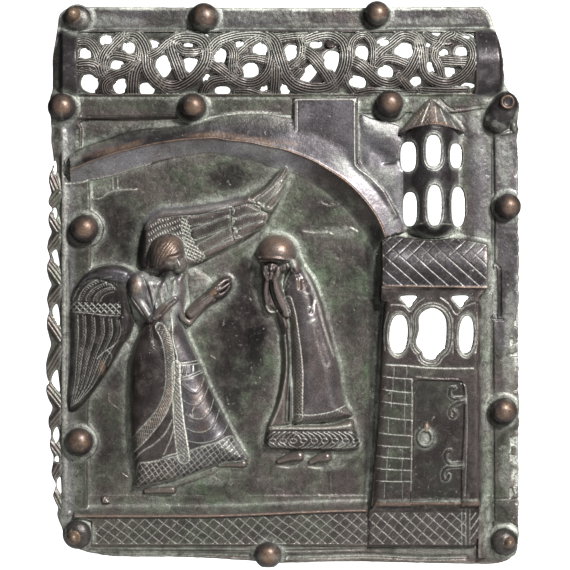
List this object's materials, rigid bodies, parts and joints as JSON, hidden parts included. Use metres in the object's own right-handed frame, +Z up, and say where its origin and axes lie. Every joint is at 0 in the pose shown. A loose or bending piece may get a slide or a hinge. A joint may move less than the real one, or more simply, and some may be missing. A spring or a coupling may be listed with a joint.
{
  "type": "relief plaque",
  "caption": "Cast bronze relief plaque with an openwork interlace bar, nail-head bosses, an arch, a tower, a winged figure and a veiled figure in high relief.",
  "frame": {"origin": "middle of the flat back, where the plaque meets the wall or door it is fixed to", "axes": "+Z up, +X to the right as seen from the front, +Y into the wall; the relief faces -Y"},
  "size_m": [0.4736, 0.034, 0.562],
  "materials": {
    "plaque": "dark patinated bronze: grey-brown skin, green and chalky deposit in the hollows, worn copper-brown on the high points"
  },
  "bodies": {
    "root": {"plaque": "plaque"}
  },
  "joints": []
}
